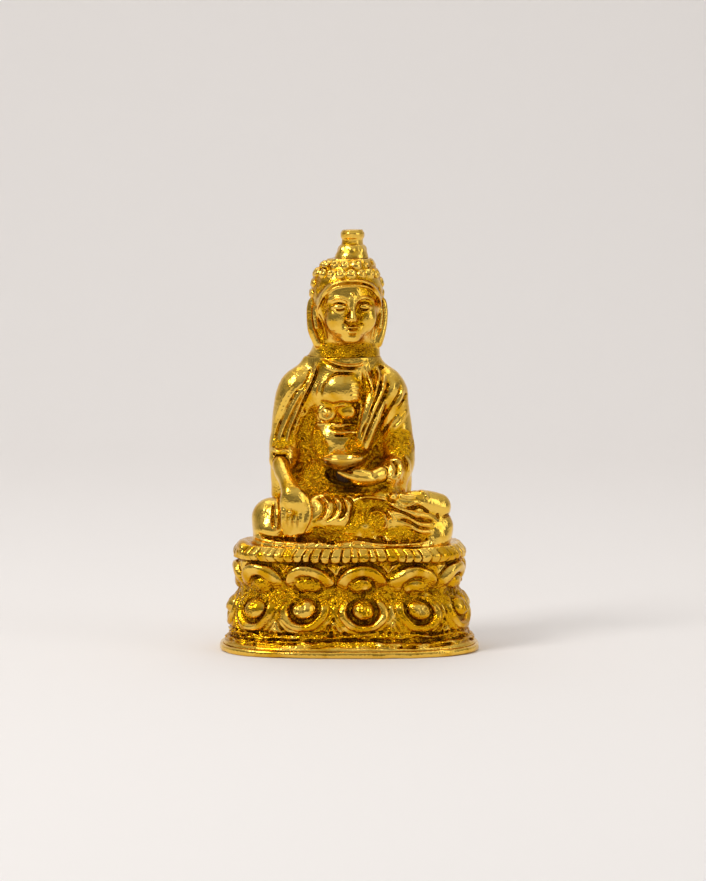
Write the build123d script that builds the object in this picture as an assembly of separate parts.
from build123d import *
import math
import os

# Small cast brass statue of the seated Buddha on a double lotus pedestal.
#
# Units are millimetres. +Z is up, the figure faces -Y, and its left side is towards +X. The origin is the
# centre of the base plate's underside. Each make_ function makes one piece, and each piece is written as its
# own STEP file.
#
# How the pieces join: the base plate is soldered under the pedestal and a raised step centres it. Two tangs
# under the seated body drop through slots in the pedestal's deck, and a wedge pin through each tang locks it.
# The head, both hands, the bowl and the crown finial are separate castings. The head, hands and finial have a
# peg in a socket of the piece that carries them, and the bowl stands on a flat seat in the palm. The pedestal
# holds mantra rolls, and a life stick rises from the base plate through the hollow body.

# ---- whole object ------------------------------------------------------------------------------------
HEIGHT = 50.0  # from the surface that it stands on to the tip of the finial
SQUARENESS = 2.8  # exponent of every oval outline: 2 is an ellipse, and more is squarer
OUTLINE_POINTS = 24  # places that each oval outline passes through
GAP = 0.05  # clearance of a peg in its socket and of the plate's step, filled with solder
CUT = 0.4  # how far a cutting shape runs past the surface that it opens

# ---- base plate and pedestal -------------------------------------------------------------------------
PLATE = (15.5, 9.6)  # half width and half depth
PLATE_THICK = 0.8
PLATE_ROUND = 0.28  # fillet of its rim
STEP_HIGH = 0.5  # raised step that centres the plate in the pedestal
FLOOR_Z = PLATE_THICK + STEP_HIGH  # where the filling stands

DECK_Z = 12.8  # top of the pedestal, where the body sits
ROOF = 1.4  # thickness of the deck
CAVITY = (11.5, 5.9)  # half width and half depth of the hollow
FOOT = (14.75, 8.9)  # half width and half depth of the foot moulding
FOOT_HIGH = 1.3
FOOT_ROUND = 0.8
LOWER_TIER = [(13.4, 7.6, 1.9), (13.8, 8.0, 4.4), (12.9, 7.1, 7.2)]  # half width, half depth and height
UPPER_TIER = [(12.9, 7.1, 7.2), (13.2, 7.5, 9.6), (13.0, 7.3, DECK_Z)]
PETALS = 12  # in each of the two rows
PETAL_SHIFT = 1.45  # the middle front petal stands this far towards +X
PETAL_ROWS = [  # height, ring through the centres, and radii outwards, along and up
    (4.9, (13.2, 7.3), (1.25, 2.75, 2.25)),
    (9.2, (12.7, 7.0), (1.25, 2.8, 1.75)),
]
RIM = (13.9, 8.2)  # half width and half depth of the band that carries the beads
RIM_Z = 11.3
RIM_HIGH = 1.2
BEADS = 66
BEAD_RING = (13.6, 7.9)
BEAD_SIZE = (1.0, 0.75, 1.4)  # outwards, along and up

# ---- seated body -------------------------------------------------------------------------------------
BODY_X = -0.9  # the torso's centre line
BODY_Y = 0.4
TORSO = [  # height, half width and half depth
    (14.0, 6.2, 3.6), (20.0, 5.7, 3.3), (26.5, 6.2, 3.5),
    (31.0, 6.9, 3.2), (33.6, 5.7, 2.8), (35.0, 4.0, 3.0),
]
LEGS = [  # centre, radii, and turn in degrees about X, Y and Z
    ((-6.6, -1.6, 15.6), (4.9, 4.7, 2.9), (0, 0, 0)),
    ((7.3, -1.6, 15.8), (5.0, 4.7, 2.9), (0, 0, 0)),
    ((0.4, -3.2, 15.0), (7.6, 4.1, 3.4), (0, 0, 0)),
    ((0.2, 1.2, 14.8), (9.8, 4.2, 3.2), (0, 0, 0)),
    ((7.4, -2.9, 17.9), (3.9, 2.4, 1.6), (0, 8, -14)),
]
# Arms, as (x, y, z, radius) from the shoulder down.
RIGHT_SLEEVE = [(-6.1, 0.2, 31.2, 2.2), (-7.5, 0.4, 26.6, 1.9), (-7.7, -0.9, 22.6, 1.7)]
RIGHT_HAND = [
    (-7.3, -2.4, 21.4, 1.25), (-6.8, -5.5, 19.4, 1.2), (-6.9, -6.9, 17.2, 1.4), (-6.9, -7.3, 14.4, 0.9),
]
LEFT_SLEEVE = [
    (4.3, 0.2, 31.2, 2.2), (5.5, 0.6, 26.6, 1.9), (5.7, -0.6, 22.0, 1.75), (4.1, -3.6, 21.0, 1.4),
]
LEFT_HAND = [(3.0, -5.0, 20.8, 1.0), (1.2, -5.6, 20.9, 0.95), (-1.4, -5.8, 21.3, 0.7)]
PALM = ((0.0, -5.7, 21.2), (2.3, 1.3, 0.9))  # centre and radii
HAND_PEG = (0.6, 1.4)  # radius and length
BODY_HOLLOW = [  # y, height, half width and half depth
    (0.0, DECK_Z - CUT, 4.2, 2.0), (0.2, 21.0, 3.0, 1.6), (0.2, 31.8, 1.6, 1.1),
]

TANG = (2.4, 1.1)  # width and thickness
TANG_X = (-6.4, 5.6)
TANG_DROP = 1.7  # how far each tang reaches below the deck's underside
TANG_ROOT = 0.6  # how far it is sunk into the body
SLOT_GAP = 0.1
PIN_RADIUS = 0.4
PIN_LENGTH = 3.6
PIN_Z = DECK_Z - ROOF - PIN_RADIUS  # tight under the deck

# ---- head and crown ----------------------------------------------------------------------------------
HEAD_CENTRE = Vector(-0.25, -0.5, 41.6)
HEAD_TURN = 8.0  # degrees, towards +X
SKULL = (4.1, 4.6, 5.2)  # radii
HAIR = ((0, 0.5, 1.7), (4.4, 4.5, 3.75))  # centre from the head's centre, and radii
JAW = ((0, -1.3, -3.4), (2.9, 2.7, 2.1))
EAR = ((3.75, 0.5, -2.3), (0.95, 1.2, 3.3), 6)  # centre, radii, and lean in degrees
NECK_Z = 35.0  # plane where the head sits on the body's collar
NECK = (3.5, 3.0, 3.6)  # radius at the collar, radius at the jaw, and height
HEAD_PEG = (1.2, 1.7)  # radius and length

FINIAL_Z = 46.7  # plane where the finial sits on the hair
FINIAL_X = 0.3
FINIAL_Y = 0.2
FINIAL_PEG = (0.7, 1.5)
FINIAL_RINGS = [  # radius and height above the hair
    (1.95, 0), (1.85, 0.5), (1.6, 1.45), (1.25, 1.6), (1.25, 2.35), (1.4, 2.5), (1.4, 2.95), (1.1, 3.3),
]

# ---- alms bowl ---------------------------------------------------------------------------------------
BOWL_CENTRE = (-0.8, -5.7)
BOWL_Z = 21.9  # underside of the bowl, on the palm
BOWL_RADIUS = 2.45
BOWL_HIGH = 1.65
BOWL_DEPTH = 1.9  # how deep the outer curve would run without the flat under it
BOWL_WALL = 0.35

# ---- filling -----------------------------------------------------------------------------------------
STICK_BASE = 2.2  # width of the square life stick at its foot
STICK_TIP = 1.1
STICK_TOP_Z = 31.0
STICK_POINT = 24  # degrees, slope of the point
STICK_HOLE = 1.8  # radius of the hole for it in the deck
ROLL_RADIUS = 1.8
ROLL_CORE = 0.35
ROLL_HIGH = 7.2
ROLL_XY = [(x, y) for x in (-8.9, -4.9, 3.1, 7.1) for y in (-2.2, 2.2)]
THREAD = (0.15, 0.5)  # thickness and height of the band round each roll

LOW = (Align.CENTER, Align.CENTER, Align.MIN)  # stands a shape on its plane


# ---- helpers -----------------------------------------------------------------------------------------
def oval(half_width, half_depth, z=0.0):
    """A closed superellipse face, flat at height z."""
    power = 2 / SQUARENESS
    points = []
    for i in range(OUTLINE_POINTS):
        angle = math.tau * i / OUTLINE_POINTS
        c, s = math.cos(angle), math.sin(angle)
        x = math.copysign(abs(c) ** power, c) * half_width
        y = math.copysign(abs(s) ** power, s) * half_depth
        points.append(Vector(x, y, z))
    return Face(Wire(Edge.make_spline(points, periodic=True)))


def ellipsoid(centre, radii, turn=(0, 0, 0)):
    """A sphere stretched to three radii, turned by degrees about X, Y and Z, at centre."""
    return Location(tuple(centre), turn) * scale(Sphere(1), by=radii)


def between(start, end):
    """A plane at start whose +Z points at end, and the distance from one to the other."""
    a, b = Vector(*tuple(start)[:3]), Vector(*tuple(end)[:3])
    return Plane(origin=a, z_dir=(b - a).normalized()), (b - a).length


def limb(stations):
    """Tapered round bars with a ball at every station of (x, y, z, radius)."""
    solid = Part()
    for x, y, z, radius in stations:
        solid += Pos(x, y, z) * Sphere(radius)
    for start, end in zip(stations, stations[1:]):
        plane, length = between(start, end)
        solid += plane * Cone(start[3], end[3], length, align=LOW)
    return solid


def rod(start, end, radius):
    """A round bar from start to end."""
    plane, length = between(start, end)
    return plane * Cylinder(radius, length, align=LOW)


def above(z):
    """A large block whose underside is at height z."""
    return Pos(0, 0, z) * Box(2 * HEIGHT, 2 * HEIGHT, 2 * HEIGHT, align=LOW)


def peg_line(hand, sleeve):
    """Start and end of a hand's peg: from the hand's first station, into the sleeve behind it."""
    start, inner = Vector(*hand[0][:3]), Vector(*sleeve[-1][:3])
    direction = (inner - start).normalized()
    return start, start + direction * (hand[0][3] + HAND_PEG[1])


def stations_round(face, count, shift=0.0):
    """count places evenly spaced round a face's outline: (point, direction out of it, in degrees)."""
    wire = face.outer_wire()
    front = min((wire.position_at(i / 720).Y, i / 720) for i in range(720))[1]
    step = shift / wire.length
    # The outline may run either way round, so the shift is turned if it goes towards -X.
    if wire.position_at((front + step) % 1).X < wire.position_at(front).X:
        step = -step
    places = []
    for i in range(count):
        u = (front + step + i / count) % 1
        point, tangent = wire.position_at(u), wire.tangent_at(u)
        normal = Vector(tangent.Y, -tangent.X, 0)
        if normal.dot(Vector(point.X, point.Y, 0)) < 0:
            normal = -normal
        places.append((point, math.degrees(math.atan2(normal.Y, normal.X))))
    return places


def repeat_round(shape, face, count, z, shift=0.0):
    """Copies of a shape at height z round a face's outline, each turned to face outwards."""
    places = stations_round(face, count, shift)
    return [Location((point.X, point.Y, z), (0, 0, angle)) * shape for point, angle in places]


# ---- pieces ------------------------------------------------------------------------------------------
def make_base_plate():
    """Oval sheet that closes the pedestal, with a rounded rim and a raised step inside."""
    sheet = extrude(oval(*PLATE), PLATE_THICK)
    sheet = fillet(sheet.edges(), PLATE_ROUND)
    step = oval(CAVITY[0] - GAP, CAVITY[1] - GAP, PLATE_THICK)
    return sheet + extrude(step, STEP_HIGH)


def make_pedestal_shell():
    """Foot moulding, the two tiers with their petals, and the beaded rim, all solid."""
    foot = extrude(oval(*FOOT, PLATE_THICK), FOOT_HIGH)
    shell = fillet(foot.edges().group_by(Axis.Z)[-1], FOOT_ROUND)
    for tier in (LOWER_TIER, UPPER_TIER):
        shell += loft([oval(*ring) for ring in tier])
    for z, ring, radii in PETAL_ROWS:
        shell += repeat_round(ellipsoid((0, 0, 0), radii), oval(*ring), PETALS, z, PETAL_SHIFT)
    shell += extrude(oval(*RIM, RIM_Z), RIM_HIGH)
    shell += repeat_round(Box(*BEAD_SIZE), oval(*BEAD_RING), BEADS, RIM_Z + BEAD_SIZE[2] / 2)
    return shell


def make_lotus_pedestal():
    """Hollow casting under a deck with two slots for the tangs and a hole for the life stick."""
    pedestal = make_pedestal_shell() - extrude(oval(*CAVITY), DECK_Z - ROOF)
    for x in TANG_X:
        pedestal -= Pos(x, 0, DECK_Z) * Box(TANG[0] + 2 * SLOT_GAP, TANG[1] + 2 * SLOT_GAP, 3 * ROOF)
    return pedestal - Pos(BODY_X, 0, DECK_Z) * Cylinder(STICK_HOLE, 3 * ROOF)


def make_tang(x):
    """Flat tang under the body, with a hole for its locking pin."""
    tang = Pos(x, 0, DECK_Z - ROOF - TANG_DROP) * Box(*TANG, TANG_DROP + ROOF + TANG_ROOT, align=LOW)
    return tang - Pos(x, 0, PIN_Z) * Rot(90, 0, 0) * Cylinder(PIN_RADIUS, 3 * TANG[1])


def make_seated_body():
    """Hollow casting of the torso, robe, sleeves and crossed legs, with two tangs below."""
    torso = loft([Plane((BODY_X, BODY_Y, z)) * Ellipse(wide, deep).face() for z, wide, deep in TORSO])
    body = torso + limb(RIGHT_SLEEVE) + limb(LEFT_SLEEVE) + [ellipsoid(*leg) for leg in LEGS]
    body &= above(DECK_Z)
    body -= loft([Plane((BODY_X, y, z)) * Ellipse(wide, deep).face() for y, z, wide, deep in BODY_HOLLOW])
    body -= Pos(HEAD_CENTRE.X, 0, NECK_Z) * Cylinder(HEAD_PEG[0] + GAP, 2 * (HEAD_PEG[1] + GAP))
    for hand, sleeve in ((RIGHT_HAND, RIGHT_SLEEVE), (LEFT_HAND, LEFT_SLEEVE)):
        start, end = peg_line(hand, sleeve)
        body -= limb(hand) + rod(start, end, HAND_PEG[0] + GAP)
    return body + [make_tang(x) for x in TANG_X]


def make_head():
    """Head with hair, ears and neck. A peg goes down into the collar, and a socket takes the finial."""
    ear_centre, ear_radii, ear_lean = EAR
    ears = [
        ellipsoid((side * ear_centre[0], *ear_centre[1:]), ear_radii, (0, side * ear_lean, 0))
        for side in (-1, 1)
    ]
    skull = ellipsoid((0, 0, 0), SKULL) + ellipsoid(*HAIR) + ellipsoid(*JAW) + ears
    head = Location(tuple(HEAD_CENTRE), (0, 0, HEAD_TURN)) * skull
    head += Pos(HEAD_CENTRE.X, 0, NECK_Z) * Cone(*NECK, align=LOW)
    head &= above(NECK_Z)
    head -= above(FINIAL_Z)
    head -= Pos(FINIAL_X, FINIAL_Y, FINIAL_Z) * Cylinder(FINIAL_PEG[0] + GAP, 2 * (FINIAL_PEG[1] + GAP))
    peg = Cylinder(HEAD_PEG[0], HEAD_PEG[1] + CUT, align=LOW)
    return head + Pos(HEAD_CENTRE.X, 0, NECK_Z - HEAD_PEG[1]) * peg


def make_crown_finial():
    """Turned knob on the crown: a stepped cone with a rimmed tip and a peg."""
    peg_radius, peg_long = FINIAL_PEG
    axis_points = [(0, -peg_long), (peg_radius, -peg_long), (peg_radius, 0)]
    top = FINIAL_RINGS[-1][1]
    outline = Polyline(*axis_points, *FINIAL_RINGS, (0, top), (0, -peg_long))
    knob = revolve(Plane.XZ * make_face(outline), Axis.Z)
    return Pos(FINIAL_X, FINIAL_Y, FINIAL_Z) * knob


def make_right_hand():
    """Bare forearm and hand that reach down over the shin, with a peg into the sleeve."""
    start, end = peg_line(RIGHT_HAND, RIGHT_SLEEVE)
    return limb(RIGHT_HAND) + rod(start, end, HAND_PEG[0])


def make_left_hand():
    """Open hand, palm up, with a peg into the sleeve and a flat seat for the bowl."""
    start, end = peg_line(LEFT_HAND, LEFT_SLEEVE)
    hand = limb(LEFT_HAND) + rod(start, end, HAND_PEG[0]) + ellipsoid(*PALM)
    return hand - above(BOWL_Z)


def make_alms_bowl():
    """Shallow round bowl with an open top and a flat under it."""
    lip = BOWL_RADIUS - BOWL_WALL
    outside = ellipsoid((0, 0, BOWL_HIGH), (BOWL_RADIUS, BOWL_RADIUS, BOWL_DEPTH))
    inside = ellipsoid((0, 0, BOWL_HIGH), (lip, lip, BOWL_HIGH - BOWL_WALL))
    bowl = outside & Cylinder(2 * BOWL_RADIUS, BOWL_HIGH, align=LOW)
    return Pos(*BOWL_CENTRE, BOWL_Z) * (bowl - inside)


def make_locking_pins():
    """One round pin through each tang, tight under the deck."""
    pin = Rot(90, 0, 0) * Cylinder(PIN_RADIUS, PIN_LENGTH)
    return [Pos(x, 0, PIN_Z) * pin for x in TANG_X]


def make_life_stick():
    """Square wooden stick that tapers to a short point."""
    tip_z = STICK_TOP_Z - STICK_TIP
    foot = Plane((BODY_X, 0, FLOOR_Z)) * Rectangle(STICK_BASE, STICK_BASE).face()
    tip = Plane((BODY_X, 0, tip_z)) * Rectangle(STICK_TIP, STICK_TIP).face()
    return loft([foot, tip]) + extrude(tip, STICK_TIP, taper=STICK_POINT)


def make_mantra_rolls():
    """Tightly wound paper rolls that stand on the base plate."""
    roll = Cylinder(ROLL_RADIUS, ROLL_HIGH, align=LOW) - Cylinder(ROLL_CORE, ROLL_HIGH, align=LOW)
    return [Pos(x, y, FLOOR_Z) * roll for x, y in ROLL_XY]


def make_roll_threads():
    """A flat band of thread round the middle of each roll."""
    thick, high = THREAD
    band = Cylinder(ROLL_RADIUS + thick, high) - Cylinder(ROLL_RADIUS, high)
    return [Pos(x, y, FLOOR_Z + ROLL_HIGH / 2) * band for x, y in ROLL_XY]


PIECES = {
    "base_plate": make_base_plate,
    "lotus_pedestal": make_lotus_pedestal,
    "seated_body": make_seated_body,
    "head": make_head,
    "crown_finial": make_crown_finial,
    "right_hand": make_right_hand,
    "left_hand": make_left_hand,
    "alms_bowl": make_alms_bowl,
    "locking_pins": make_locking_pins,
    "life_stick": make_life_stick,
    "mantra_rolls": make_mantra_rolls,
    "roll_threads": make_roll_threads,
}


def main():
    """Makes every piece, or group of like pieces, and writes it as parts/NAME.step."""
    os.makedirs("parts", exist_ok=True)
    for name, make in PIECES.items():
        made = make()
        shapes = made if isinstance(made, list) else [made]
        solids = [solid for shape in shapes for solid in shape.solids()]
        print(name, "solids", len(solids), "volume", round(sum(solid.volume for solid in solids), 2))
        export_step(Compound(children=solids), f"parts/{name}.step")


main()
